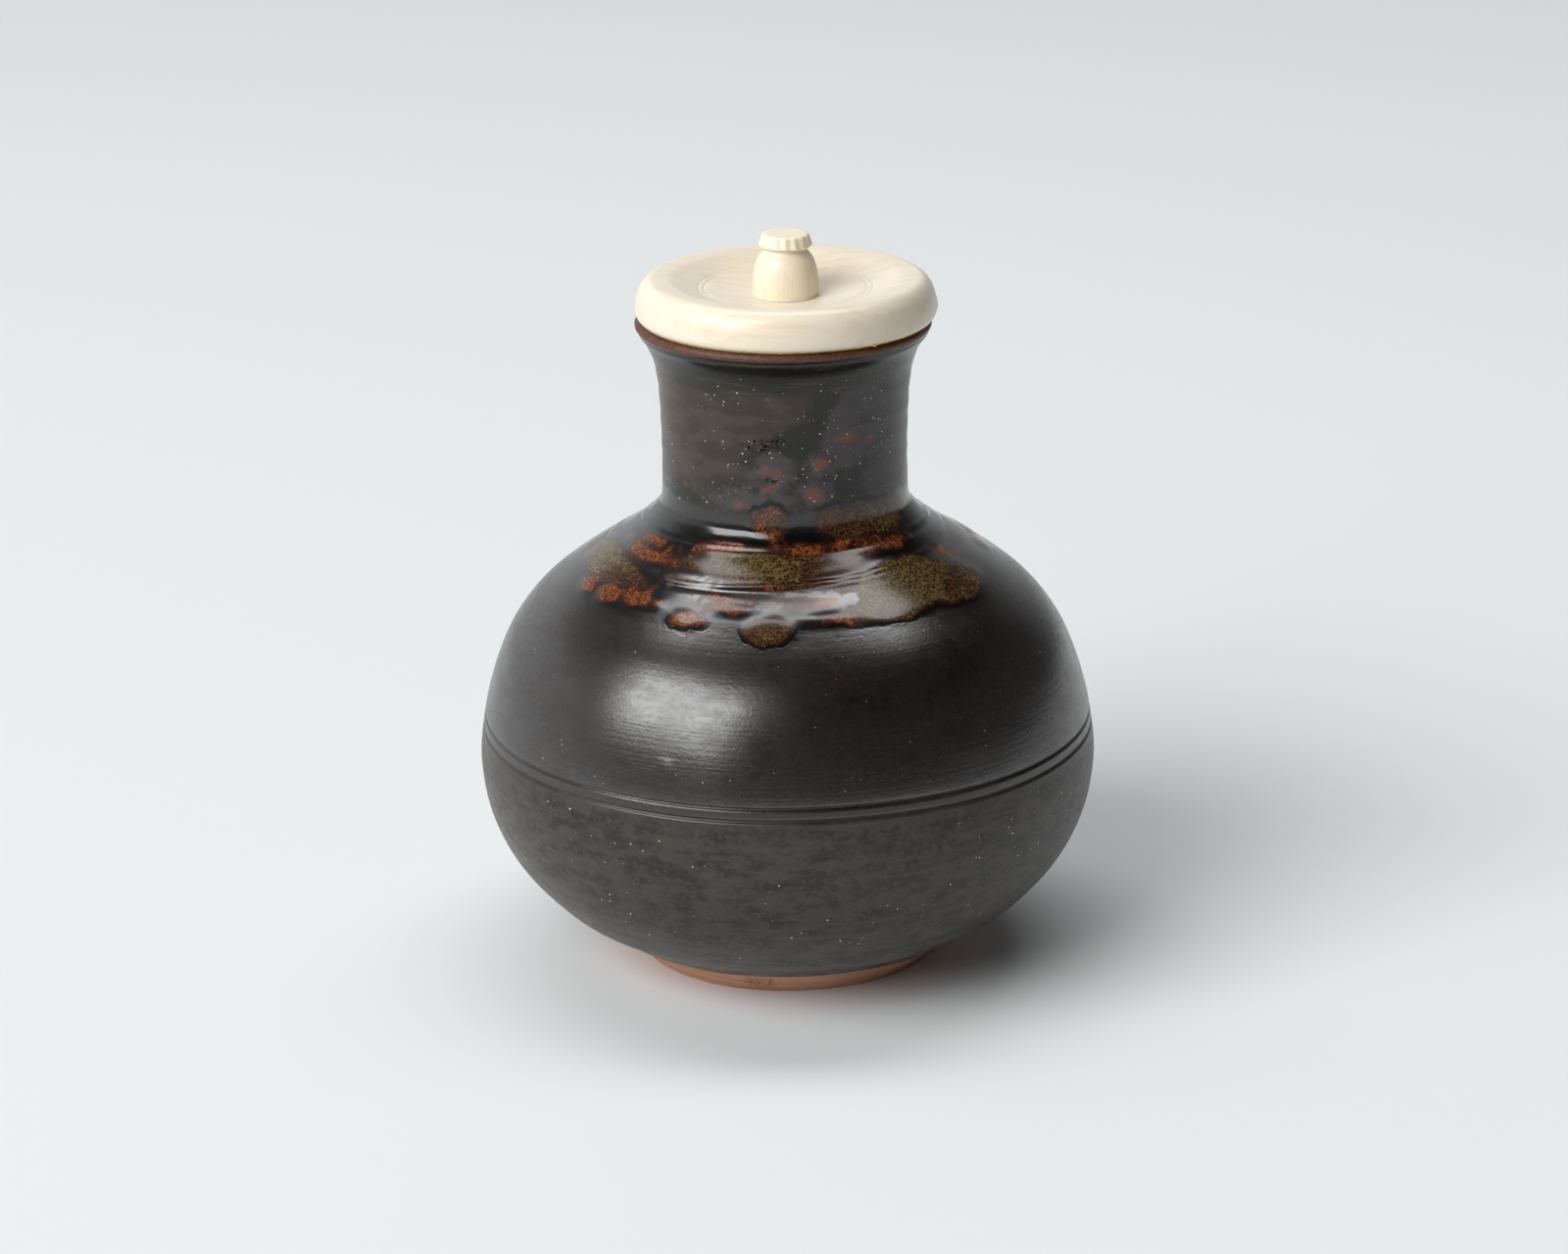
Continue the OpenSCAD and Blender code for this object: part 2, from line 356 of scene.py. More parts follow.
# %% Measure the glaze's outline
glaze_gauge = Calipers("glaze_coat")
GLAZE_LINE = glaze_gauge.low           # where the glaze stops above the foot
LINE_HEIGHTS = (26.3, 27.62)           # the two lines cut round the belly
LINE_MARGIN = 0.8                      # left out on either side of the two lines
STEP_ZONE = (43.0, 53.0)               # from the ash drops to the glossy root of the neck
LIP_ZONE = 69.8
MOUTH_RADIUS = 14.0                    # where the lip's flat top turns down into the mouth
MOUTH_DEPTH = 8.4                      # how far down the mouth the glaze goes
MEASURE_EVERY = 0.25

heights = np.arange(GLAZE_LINE + 0.35, jar_top - 0.3, MEASURE_EVERY)
plain = (heights < LINE_HEIGHTS[0] - LINE_MARGIN) | (heights > LINE_HEIGHTS[1] + LINE_MARGIN)
outside = [(glaze_gauge.outside(h), h) for h in heights[plain]]
lip_radii = np.arange(outside[-1][0] - 0.3, MOUTH_RADIUS, -MEASURE_EVERY)
lip_top = [(r, glaze_gauge.top(r)) for r in lip_radii]
mouth_heights = np.arange(jar_top - 0.5, jar_top - MOUTH_DEPTH, -0.4)
mouth = [(glaze_gauge.inside(h), h) for h in mouth_heights]


def row_spacing(r, z):
    """Distance wanted between rows of vertices on the glaze, in mm."""
    if LINE_HEIGHTS[0] - 0.7 < z < LINE_HEIGHTS[1] + 0.7:
        return 0.11
    if STEP_ZONE[0] < z < STEP_ZONE[1]:
        return 0.28
    if z > LIP_ZONE:
        return 0.18
    if z > STEP_ZONE[1]:
        return 0.45
    return 0.75


glaze_outside = respaced(eased(outside, 3), row_spacing)
# the CAD's two low steps are smoothed away here, because the ridges are worked in later
SMOOTHED = (45.0, 46.0, 50.5, 51.5)
softened = eased(glaze_outside, 30)
at_root = np.interp(glaze_outside[:, 1], SMOOTHED, (0, 1, 1, 0))[:, None]
glaze_outside = glaze_outside * (1 - at_root) + softened * at_root
glaze_mouth = respaced(eased(lip_top[:-1] + mouth, 2), lambda r, z: 0.45)
path_r, path_z = glaze_outside.T
path_length = np.concatenate([[0], np.cumsum(np.hypot(np.diff(path_r), np.diff(path_z)))])
print(f"outline: {len(glaze_outside)} rows outside, {len(glaze_mouth)} in the mouth")


def along_wall(height):
    """Distance along the outside of the jar from the glaze line up to a height, in mm."""
    return np.interp(height, path_z, path_length)


# %% [markdown]
# ## Where the ash fell
# Ash from the kiln lands on the shoulder and melts into pools and drops. Each one is an oval given
# by its place round the jar (degrees from the front, to the right), its height, its half width and
# its half height in mm, and how rusty it is. Together they make one smooth field: how deep inside a
# pool a point of the wall lies. The glaze is thicker there, and its colours follow the same field.

# %% Place the ash pools and the clouds on the neck
ASH_POOLS = [
    # the wide olive pool below the neck, with its darker lower band
    (-12, 48.7, 6.8, 2.0, 0.0), (12, 48.6, 5.2, 1.4, 0.45), (2, 47.2, 6.6, 0.8, 0.5),
    # the largest pool, on the right shoulder, and its tail
    (43, 46.4, 7.0, 3.5, 0.08), (58, 45.3, 5.2, 2.5, 0.42), (30, 45.0, 4.8, 1.9, 0.2),
    (14, 44.75, 3.1, 0.85, 0.9),
    # the left pool with its three hanging lobes
    (-76, 46.2, 7.0, 2.3, 0.0), (-60, 46.0, 5.0, 1.5, 0.5), (-68, 44.5, 1.9, 1.3, 1.0),
    (-57, 44.7, 2.0, 1.4, 1.0), (-46, 45.1, 2.2, 1.3, 1.0),
    # separate drops below the others
    (-27, 44.35, 2.0, 1.15, 0.95), (-4.5, 43.95, 2.6, 1.8, 0.4), (-16, 45.5, 2.9, 0.8, 0.95),
    (-39, 45.1, 0.7, 0.55, 0.7),
    # small patches between the two ridges
    (-31, 49.7, 2.0, 0.7, 1.0), (9, 50.0, 3.2, 0.6, 1.0), (44, 49.4, 3.9, 0.8, 0.9),
    (-27, 48.2, 3.6, 0.9, 0.6), (-20, 46.2, 2.6, 0.45, 0.9), (25, 46.9, 3.2, 0.5, 0.6),
    (-20, 50.1, 3.0, 0.5, 0.95), (24, 50.2, 2.6, 0.45, 0.9),
    (-61, 49.1, 3.0, 0.7, 0.9), (-54, 48.0, 3.2, 0.95, 1.0), (-68, 47.9, 1.8, 0.7, 0.8),
    # patches in the glossy root of the neck
    (-7, 52.7, 2.2, 1.9, 0.6), (28, 52.5, 3.4, 1.7, 0.5), (47, 52.0, 5.6, 1.9, 0.2),
    # the back, where fewer drops fell
    (100, 47.1, 5.4, 1.3, 0.3), (111, 45.7, 3.0, 1.5, 0.5), (96, 45.4, 1.7, 1.1, 0.9),
    (147, 47.6, 8.0, 1.3, 0.2), (160, 46.0, 4.0, 2.0, 0.0), (139, 45.7, 2.4, 1.3, 0.9),
    (173, 45.3, 1.8, 1.0, 0.9), (188, 47.8, 4.0, 0.8, 0.8), (190, 52.4, 3.0, 1.4, 0.5),
    (222, 47.2, 6.6, 1.5, 0.1), (233, 45.6, 2.6, 1.5, 0.5), (212, 45.4, 1.8, 1.1, 0.9),
]
ASH_VEIL = [
    (-8, 46.6, 10, 2.2), (24, 46.2, 7, 1.9), (-36, 47.3, 5, 1.9), (-66, 47.5, 6, 2.0),
    (60, 47.0, 6, 2.2), (140, 46.6, 9, 2.0), (215, 46.6, 8, 2.0),
]
NECK_CLOUDS = [
    (38, 63.0, 4.6, 4.2), (27, 60.0, 2.6, 2.0), (17, 58.8, 2.0, 1.3), (14, 55.6, 2.2, 1.5),
    (-5, 58.2, 2.2, 2.4), (-13, 57.6, 2.0, 1.0), (-20, 55.0, 4.6, 1.2), (-4, 54.9, 3.0, 1.0),
    (56, 56.4, 4.4, 2.6), (70, 61.5, 3.2, 5.0), (-78, 57.0, 3.0, 3.0),
    (120, 58.5, 4.5, 2.6), (165, 60.5, 3.4, 3.0), (212, 56.8, 4.2, 2.0), (250, 62.0, 3.0, 2.4),
]
BLUSHES = [
    (-9.3, 58.5, 0.6, 0.5), (-3.5, 58.3, 0.5, 0.5), (-4.0, 57.0, 0.5, 0.8), (-9, 56.3, 0.5, 0.4),
    (16.5, 59.0, 1.0, 0.8), (13, 55.6, 1.2, 0.9), (-21, 54.4, 1.0, 0.4), (29, 61.6, 1.2, 0.7),
    (41, 61.0, 0.9, 0.5), (-3.5, 54.6, 0.6, 0.3), (122, 58.2, 1.1, 0.8), (213, 56.7, 1.0, 0.7),
]
MOSS = [
    (30, 58.5, 11.0, 6.0), (4, 56.6, 6.5, 3.6), (-20, 55.0, 5.0, 1.8), (48, 64.0, 6.0, 4.0),
    (20, 64.5, 2.4, 3.0), (-62, 54.5, 5.0, 1.4), (100, 60.5, 8.0, 5.0), (185, 57.0, 9.0, 4.0),
    (235, 60.5, 6.0, 5.0),
]
PINHOLES = [(-9.5, 61.3, 1.9, 0.55), (-4.5, 61.5, 0.9, 0.4), (-6.0, 57.4, 0.5, 0.3)]


def pool_depth(ovals, azimuth, wall, radius, blend_mm=0.35):
    """How far inside the nearest oval each point is, in mm, and how rusty: 0 if the oval has none."""
    total = np.zeros_like(azimuth)
    rusty = np.zeros_like(azimuth)
    for centre, height, half_width, half_height, *rust in ovals:
        swing = (azimuth - centre + 180) % 360 - 180
        across = np.radians(swing) * radius / half_width
        upward = (wall - along_wall(height)) / half_height
        depth = (1 - np.hypot(across, upward)) * min(half_width, half_height)
        share = np.exp(np.clip(depth, -6, 6) / blend_mm)
        total += share
        rusty += share * sum(rust)
    return blend_mm * np.log(total), rusty / total


# %% [markdown]
# ## Iron glaze
# The glaze is a tenmoku-like iron glaze over stoneware, fired in a wood kiln. Where it is thick it is
# glossy black; thinner, it turns to a satin, brown-grey skin with fine level streaks left by the
# turning, and on the worn lip it is a dry red-brown. Melted ash is olive where it is deep, rust red at
# its rim, and the glaze just outside it is drained to black. The glass has an IOR of about 1.52. Most
# of the finish follows height, the fields above and noise at real scales, so it reads the same from
# every side. The alternative, painting a picture on a UV map, would need an image.

# %% Make the iron glaze
# Heights in mm over which one part of the skin gives way to the next
DRY_BELOW = (28.0, 24.5)
FROST_BELOW = (15.0, 4.0)
GLOSS_FROM = (42.2, 45.0)
GLOSS_TO = (54.2, 53.2)
NECK_FROM = (51.8, 53.2)
DARK_BAND_FROM = (65.6, 68.0)
LIP_FROM = (70.9, 71.2)


def three_tones(tree, value, dark, middle, light):
    """Dark, middle and light chips in turn, as the value goes from about a third to two thirds."""
    ramp = add(tree, "ShaderNodeValToRGB", {"Fac": value})
    for stop, (place, tone) in enumerate(((0.36, dark), (0.5, middle), (0.66, light))):
        if stop == 1:
            ramp.color_ramp.elements.new(place)
        ramp.color_ramp.elements[stop].position = place
        ramp.color_ramp.elements[stop].color = chip(tone)
    return ramp.outputs["Color"]


def height_in_mm(tree):
    """Height above the foot."""
    place = add(tree, "ShaderNodeTexCoord").outputs["Object"]
    height = add(tree, "ShaderNodeSeparateXYZ", {0: place}).outputs["Z"]
    return add(tree, "ShaderNodeMath", {0: height, 1: 1 / MM}, operation="MULTIPLY").outputs[0]


def ash_tones(tree, ragged):
    """Olive where the ash is deep, brown, then rust, all with fine dark specks."""
    specks = mask(tree, grain(tree, 4.2, 4.0, seed=12.0, rough=0.7), 0.26, 0.74)
    olive = three_tones(tree, specks, "#2a1f0e", "#48381a", "#6a5832")
    brown = three_tones(tree, specks, "#1b1009", "#33200f", "#4f321e")
    rust = three_tones(tree, specks, "#361809", "#602d14", "#854a29")
    shade = frayed(tree, frayed(tree, "rust", grain(tree, 0.3, 2.0, seed=14.0), 1.0), ragged, 1.4)
    for low, high, tone in ((0.1, 0.45, brown), (0.5, 0.8, rust)):
        olive = add(tree, "ShaderNodeMix", {0: mask(tree, shade, low, high), 6: olive, 7: tone},
                    data_type="RGBA").outputs[2]
    return olive


def make_iron_glaze():
    finish, tree = new_finish("iron_glaze", IOR=1.52)
    height = height_in_mm(tree)
    mottle = grain(tree, 0.45, 3.0, (0.75, 0.75, 1.5), seed=2.0)
    patches = grain(tree, 0.13, 3.0, (1, 1, 1.6), seed=5.0, rough=0.55)
    streaks = grain(tree, 1.0, 3.0, (0.14, 0.14, 1.3), seed=1.0, rough=0.6)
    speckle = grain(tree, 1.3, 4.0, (1, 1, 1.3), seed=4.0, rough=0.7)
    crystals = grain(tree, 2.6, 2.0, (1, 1, 1.4), seed=3.0, rough=0.7)
    ragged = grain(tree, 0.9, 5.0, seed=8.0, rough=0.7)
    look = {"colour": chip("#120e0b"), "roughness": 0.22, "shine": 1.1}

    # satin belly: brown-black, mottled with a drier brown and a shinier grey
    lay_over(tree, look, mask(tree, patches, 0.4, 0.62), "#18120f", 0.27)
    lay_over(tree, look, mask(tree, mottle, 0.4, 0.62), "#19130e", 0.27, 0.9)
    lay_over(tree, look, mask(tree, streaks, 0.5, 0.72, 0.0, 0.6), "#1e1711", 0.23, 1.25)
    lay_over(tree, look, mask(tree, speckle, 0.46, 0.62, 0.0, 0.6), "#1f1812", 0.3, 0.8)
    # lower body: greyer and drier, more so towards the foot
    low = mask(tree, height, *DRY_BELOW)
    lay_over(tree, look, low, "#1f1b15", 0.4, 0.4)
    lay_over(tree, look, mask(tree, patches, 0.45, 0.7, within=low), "#2b221d", 0.43)
    lay_over(tree, look, mask(tree, mottle, 0.4, 0.6, within=low), "#34302b", 0.37)
    lay_over(tree, look, mask(tree, streaks, 0.48, 0.7, 0.0, 0.6, low), "#403b36")
    lay_over(tree, look, mask(tree, speckle, 0.47, 0.62, 0.0, 0.7, low), "#3e3a34", 0.34)
    frost = mask(tree, streaks, 0.42, 0.64, within=mask(tree, height, *FROST_BELOW))
    lay_over(tree, look, frost, "#4f4a46", 0.5)

    # neck: mauve-brown, with dark green moss, lilac-grey clouds and pink blushes
    neck = mask(tree, height, *NECK_FROM)
    lay_over(tree, look, neck, "#30271f", 0.34, 0.4)
    lay_over(tree, look, mask(tree, mottle, 0.42, 0.62, within=neck), "#3d3229", 0.3)
    moss = mask(tree, frayed(tree, "moss", ragged, 4.0), -0.6, 0.6)
    band = mask(tree, streaks, 0.2, 0.6, within=mask(tree, height, *DARK_BAND_FROM))
    dark = add(tree, "ShaderNodeMath", {0: band, 1: moss}, operation="MAXIMUM").outputs[0]
    lay_over(tree, look, mask(tree, dark, 0.0, 1.0, within=neck), "#161711", 0.25, 0.4)
    cloud = mask(tree, frayed(tree, "cloud", ragged, 3.4), -0.5, 0.5, within=neck)
    lay_over(tree, look, mask(tree, mottle, 0.3, 0.5, 0.45, 1.0, cloud), "#3f3b3b", 0.36, 0.35)
    blush = mask(tree, frayed(tree, "blush", ragged, 1.8), -0.3, 0.5, 0.0, 0.75, neck)
    lay_over(tree, look, blush, "#6c4538", 0.4)

    # glossy shoulder: thick black glass from the drops up to the root of the neck
    edge = frayed(tree, height, ragged, 3.0)
    gloss = mask(tree, edge, *GLOSS_FROM, within=mask(tree, edge, *GLOSS_TO))
    lay_over(tree, look, gloss, "#0d0b09", 0.18, 0.8)
    veil = mask(tree, frayed(tree, "veil", ragged, 2.2), -0.4, 0.9, 0.0, 0.9, gloss)
    lay_over(tree, look, veil, "#462b18", 0.24, 1.4)
    drips = grain(tree, 0.7, 4.0, (0.5, 0.5, 1.6), seed=16.0)
    lay_over(tree, look, mask(tree, drips, 0.5, 0.6, within=veil), "#79431f", 0.22)

    # ash: drained black round it, a dark margin, then its own tones
    ash = frayed(tree, "ash", grain(tree, 0.55, 4.0, seed=9.0, rough=0.6), 2.2)
    drained = mask(tree, ash, -0.8, -0.3)
    lay_over(tree, look, drained, "#090808", 0.14)
    lay_over(tree, look, mask(tree, ash, -0.15, 0.1), "#2c150b", 0.17, 0.6)
    lay_over(tree, look, mask(tree, ash, 0.05, 0.45), ash_tones(tree, ragged), 0.17, 0.5)

    # lip: the glaze ran off it in the kiln and left a dry red-brown skin
    lip = mask(tree, frayed(tree, height, ragged, 0.3), *LIP_FROM)
    lay_over(tree, look, lip, "#4a2b1f", 0.5, 0.4)
    lay_over(tree, look, mask(tree, crystals, 0.4, 0.7, within=lip), "#684536", 0.55)

    # pinholes burst in the neck; each pit is painted near black with almost no shine, painted shade
    # inside the hole
    burst = add(tree, "ShaderNodeAttribute", attribute_name="pinholes").outputs["Fac"]
    shaded_pits = mask(tree, grain(tree, 3.4, 1.0, seed=31.0), 0.56, 0.6, within=mask(tree, burst, -0.3, 0.0))
    lay_over(tree, look, shaded_pits, "#060505", 0.6, 0.1)

    # the skin's fine relief: turning lines and crystals, fainter on the glossy glass, and the pits
    calm = add(tree, "ShaderNodeMath", {0: gloss, 1: drained}, operation="MAXIMUM").outputs[0]
    turning = grain(tree, 1.0, 3.0, (0.03, 0.03, 3.0), seed=21.0, rough=0.6)
    skin = add(tree, "ShaderNodeMath", {0: turning, 1: crystals}, operation="ADD").outputs[0]
    skin = add(tree, "ShaderNodeMath", {0: skin, 1: mask(tree, calm, 0.0, 1.0, 0.6, 0.12)},
               operation="MULTIPLY").outputs[0]
    relief = add(tree, "ShaderNodeMath", {0: shaded_pits, 1: -2.0, 2: skin}, operation="MULTIPLY_ADD")
    return finished(finish, look, relief.outputs[0], 0.5, 0.06)


iron_glaze = make_iron_glaze()
print("iron glaze:", len(iron_glaze.node_tree.nodes), "nodes")

# %% [markdown]
# ## The glaze coat
# The coat is a closed shell: outside, over the lip, some way down the mouth, and back along the clay.
# It is turned on the wheel first. Then each vertex of the outer skin is moved along the wall's own
# normal: out for the ridges, the ash and the rolled lip, in for the cut lines and the undercut.

# %% Turn the glaze coat
GLAZE_THICKNESS = 0.35
GLAZE_SEGMENTS = 344

skin = np.concatenate([glaze_outside, glaze_mouth])
tangent = np.gradient(skin, axis=0)
tangent /= np.hypot(*tangent.T)[:, None]
inward = np.stack([-tangent[:, 1], tangent[:, 0]], axis=1)
clay_side = respaced((skin + inward * GLAZE_THICKNESS)[::-1], lambda r, z: 1.4)
glaze_loop = np.concatenate([skin[::-1], clay_side[::-1]])
glaze = turned("iron_glaze_coat", glaze_loop, iron_glaze, GLAZE_SEGMENTS, closed=True, wobble=0.1)


# %% [markdown]
# ## Working the glaze by hand
# Two thin ridges stand at the root of the neck, where the potter's tool left the shoulder. They aren't
# level: the upper one dips towards the sides, and the lower one climbs from left to right. The same
# pass stores the fields that the finish reads.

# %% Shape the outer skin and store its fields
UPPER_RIDGE, LOWER_RIDGE = 49.45, 47.35     # mean heights, in mm
LIP_UNDERCUT, LIP_ROLL = 70.75, 71.6
THROWING_PITCH = 2.6                        # mm between the faint finger rings on the neck
PIMPLE_AT = (-23.3, 31.1)                   # degrees round from the front, mm up
HEM_LUMP_AT = -10.6                         # degrees; the clay bulges here and the glaze stops short


def bell(distance, width):
    """1 in the middle of a rounded bump, falling to a third at its width."""
    return np.exp(-(distance / width) ** 2)


def step_up(value, low, high):
    """0 to 1, smoothly, as the value goes from low to high."""
    share = np.clip((value - low) / (high - low), 0, 1)
    return share * share * (3 - 2 * share)


def work_glaze(piece):
    x, y, z, radius, swing = vertices_of(piece)
    azimuth = np.degrees(swing)
    wall = along_wall(z)
    outer = np.interp(z, path_z, path_r)
    on_skin = step_up(radius, outer - 0.3, outer - 0.1) * (z < jar_top - 0.02)
    slope = np.gradient(path_r, path_length)
    lean = np.interp(z, path_z, slope)
    out_r, out_z = np.sqrt(np.clip(1 - lean ** 2, 0, 1)), -lean

    ash, rust = pool_depth(ASH_POOLS, azimuth, wall, radius)
    fields = {"ash": ash, "rust": rust}
    for name, ovals in (("veil", ASH_VEIL), ("cloud", NECK_CLOUDS), ("blush", BLUSHES), ("moss", MOSS),
                        ("pinholes", PINHOLES)):
        fields[name] = pool_depth(ovals, azimuth, wall, radius, 0.2)[0]
    for name, values in fields.items():
        store = piece.data.attributes.new(name, "FLOAT", "POINT")
        store.data.foreach_set("value", values.astype(np.float32))

    move = 0.1 * step_up(ash, -0.6, 0.7)
    waver = 0.05 * np.sin(3 * swing + 1) + 0.03 * np.sin(7 * swing)
    cut_depth = 0.25 + 0.04 * np.sin(2 * swing + 0.6)
    for height in LINE_HEIGHTS:
        move -= cut_depth * bell(z - height - waver, 0.16)
    upper_ridge = along_wall(UPPER_RIDGE + 0.85 * np.cos(swing) + 0.1 * np.sin(2 * swing))
    lower_ridge = along_wall(LOWER_RIDGE + 0.75 * np.sin(swing) - 0.1 * np.cos(2 * swing))
    chatter = 0.8 + 0.2 * np.sin(23 * swing) * np.sin(9 * swing + 2)
    for ridge, rise, below in ((upper_ridge, 0.12, 0.07), (lower_ridge, 0.09, 0.03)):
        move += rise * chatter * bell(wall - ridge, 0.2)
        move -= below * bell(wall - ridge + 0.6, 0.4)
    move -= 0.16 * bell(z - LIP_UNDERCUT, 0.3)
    move += 0.06 * bell(z - LIP_ROLL, 0.35)
    finger_rings = np.sin(z * 2 * math.pi / THROWING_PITCH + 0.8 * np.sin(swing))
    move += 0.025 * finger_rings * step_up(z, 53, 56)
    round_to_pimple = np.radians(azimuth - PIMPLE_AT[0]) * radius
    pimple = np.hypot(round_to_pimple, wall - along_wall(PIMPLE_AT[1]))
    move += 0.3 * bell(pimple, 0.36)

    hem = 0.16 * np.sin(2 * swing + 0.5) + 0.1 * np.sin(5 * swing) + 0.05 * np.sin(11 * swing + 2)
    hem += 0.28 * bell(azimuth - HEM_LUMP_AT, 6.5)
    lift = hem * bell(z - GLAZE_LINE, 1.6)
    move *= on_skin
    grow = 1 + (move * out_r + lift * lean) / radius
    put_back(piece, x * grow, y * grow, z + move * out_z + lift * out_r)


work_glaze(glaze)
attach(glaze, "jar")
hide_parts("glaze_coat")

# %% [markdown]
# ## Bare clay
# The clay is fine stoneware that fired orange-brown, slightly redder just under the glaze. It shows
# at the foot and inside the jar. Wet clay cut from the wheel with a twisted thread keeps a shell-like
# swirl under the foot, and fingers leave rings inside.

# %% Make the fired clay
FLASHED_FROM = (2.4, 3.5)                        # heights in mm where the clay reddens
SCAR = (-3.2 * MM, -17.0 * MM, 2.9 * MM)


def make_fired_clay():
    finish, tree = new_finish("fired_stoneware", IOR=1.5, Specular_IOR_Level=0.3)
    cloudy = grain(tree, 0.16, 3.0, seed=41.0)
    grog = grain(tree, 3.0, 3.0, seed=42.0, rough=0.75)
    level = grain(tree, 1.0, 2.0, (0.05, 0.05, 2.4), seed=43.0)
    look = {"colour": chip("#cb9b7c"), "roughness": 0.72}
    lay_over(tree, look, mask(tree, cloudy, 0.38, 0.66), "#cfa587")
    lay_over(tree, look, mask(tree, level, 0.5, 0.7, 0.0, 0.6), "#a06a4a")
    lay_over(tree, look, mask(tree, height_in_mm(tree), *FLASHED_FROM, 0.0, 0.55), "#93583a", 0.62)
    lay_over(tree, look, mask(tree, grog, 0.62, 0.7, 0.0, 0.8), "#6d452f", 0.8)
    lay_over(tree, look, mask(tree, grog, 0.36, 0.3, 0.0, 0.6), "#d3aa88")
    # a rough, dark scar where the glaze touched kiln sand
    place = add(tree, "ShaderNodeTexCoord").outputs["Object"]
    away = add(tree, "ShaderNodeVectorMath", {0: place, 1: SCAR}, operation="DISTANCE").outputs["Value"]
    scar = mask(tree, away, 3.0 * MM, 1.6 * MM)
    lay_over(tree, look, mask(tree, grog, 0.45, 0.6, within=scar), "#55301f", 0.85)
    relief = add(tree, "ShaderNodeMath", {0: level, 1: 0.8, 2: grog}, operation="MULTIPLY_ADD")
    return finished(finish, look, relief.outputs[0], 0.6, 0.08)


fired_clay = make_fired_clay()


# %% [markdown]
# ## The clay jar
# One closed outline goes down the inside of the jar, over the rim, down the wall under the glaze and
# across the foot. The swirl, the rings and a lump at the hem are worked after turning.

# %% Turn the clay jar
jar_gauge = Calipers("stoneware_jar")
FOOT_BEVEL = 0.25
foot_radius = jar_gauge.outside(FOOT_BEVEL + 0.05)
under_glaze = [(jar_gauge.outside(h), h) for h in np.arange(FOOT_BEVEL, jar_top - 0.5, 0.5)]
rim_radii = np.arange(under_glaze[-1][0] - 0.3, MOUTH_RADIUS - 0.3, -0.5)
rim_top = [(r, jar_gauge.top(r)) for r in rim_radii]
hollow = [(jar_gauge.inside(h), h) for h in np.arange(jar_top - 1.0, 8.0, -0.5)]
floor_radii = np.arange(hollow[-1][0] - 0.5, 0.0, -0.5)
floor_top = [(r, jar_gauge.top(r)) for r in floor_radii if jar_gauge.top(r) < 12]
wall_path = eased(under_glaze + rim_top + hollow + floor_top, 1)
underside = [(r, 0.0) for r in np.arange(foot_radius - FOOT_BEVEL, 0.2, -0.2)]
jar_path = np.concatenate([wall_path, [[0.0, floor_top[-1][1]]]])
clay_outline = np.concatenate([jar_path[::-1], underside, [[0.0, 0.0]]])
clay = turned("clay_jar", clay_outline, fired_clay, 224, wobble=0.08)


def work_clay(piece):
    """Cuts the thread's swirl under the foot, finger rings inside, and the lump at the hem."""
    x, y, z, radius, swing = vertices_of(piece)
    under = (z < 0.01) * step_up(radius, foot_radius - 0.6, foot_radius - 1.6)
    swirl = np.hypot(x - 5.5, y + 3.0)
    z = z + under * (0.1 + 0.07 * np.sin(swirl * 2 * math.pi / 1.25 + 0.6 * swing))
    wall_inside = np.interp(z, path_z, path_r) - 1.5
    inside = (z > 4.5) * (radius < wall_inside)
    rings = 0.12 * np.sin(z * 2 * math.pi / 3.1 + swing) * inside
    lump = 0.22 * bell(np.degrees(swing) - HEM_LUMP_AT, 5.5) * bell(z - 2.7, 0.8) * (radius > foot_radius)
    trim = 0.05 * np.sin(z * 2 * math.pi / 0.9) * (radius > foot_radius) * (z < GLAZE_LINE + 1)
    grow = 1 + (rings + lump + trim) / np.maximum(radius, 1.0)
    put_back(piece, x * grow, y * grow, z)


work_clay(clay)
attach(clay, "jar")
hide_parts("stoneware_jar")

# %% [markdown]
# ## Kiln grit
# Fine grit and ash grains settled on the wet glaze and stayed as pale specks, most of them on the
# neck and the lower belly. They are scattered with Geometry Nodes on the glaze's own surface, each a
# grain of a few dozen faces pressed flat against it.

# %% Scatter the grit
def build_grit_tree():
    tree, names, given = new_tree("kiln_grit", {
        "Skin": "Geometry", "Grains per square metre": "Float", "Drifts per metre": "Float",
        "Smallest grain": "Float", "Largest grain": "Float", "Seed": "Int", "Finish": "Material"})
    drift = add(tree, "ShaderNodeTexNoise", {"Scale": given["Drifts per metre"], "Detail": 2.0})
    crowd = add(tree, "ShaderNodeMapRange", {
        0: drift.outputs["Fac"], 1: 0.42, 2: 0.62, 3: 0.3, 4: 2.4}).outputs[0]
    density = add(tree, "ShaderNodeMath", {0: crowd, 1: given["Grains per square metre"]},
                  operation="MULTIPLY").outputs[0]
    scatter = add(tree, "GeometryNodeDistributePointsOnFaces", {
        "Mesh": given["Skin"], "Density": density, "Seed": given["Seed"]})
    ball = add(tree, "GeometryNodeMeshIcoSphere", {"Radius": 1.0, "Subdivisions": 2}).outputs[0]
    size = add(tree, "FunctionNodeRandomValue", {
        2: given["Smallest grain"], 3: given["Largest grain"], "Seed": given["Seed"]}).outputs[1]
    flat = add(tree, "ShaderNodeVectorMath", {0: (1.0, 0.75, 0.3), "Scale": size},
               operation="SCALE").outputs[0]
    grains = add(tree, "GeometryNodeInstanceOnPoints", {
        "Points": scatter.outputs["Points"], "Instance": ball,
        "Rotation": scatter.outputs["Rotation"], "Scale": flat}).outputs[0]
    close_tree(tree, grains, given["Finish"])
    return tree, names


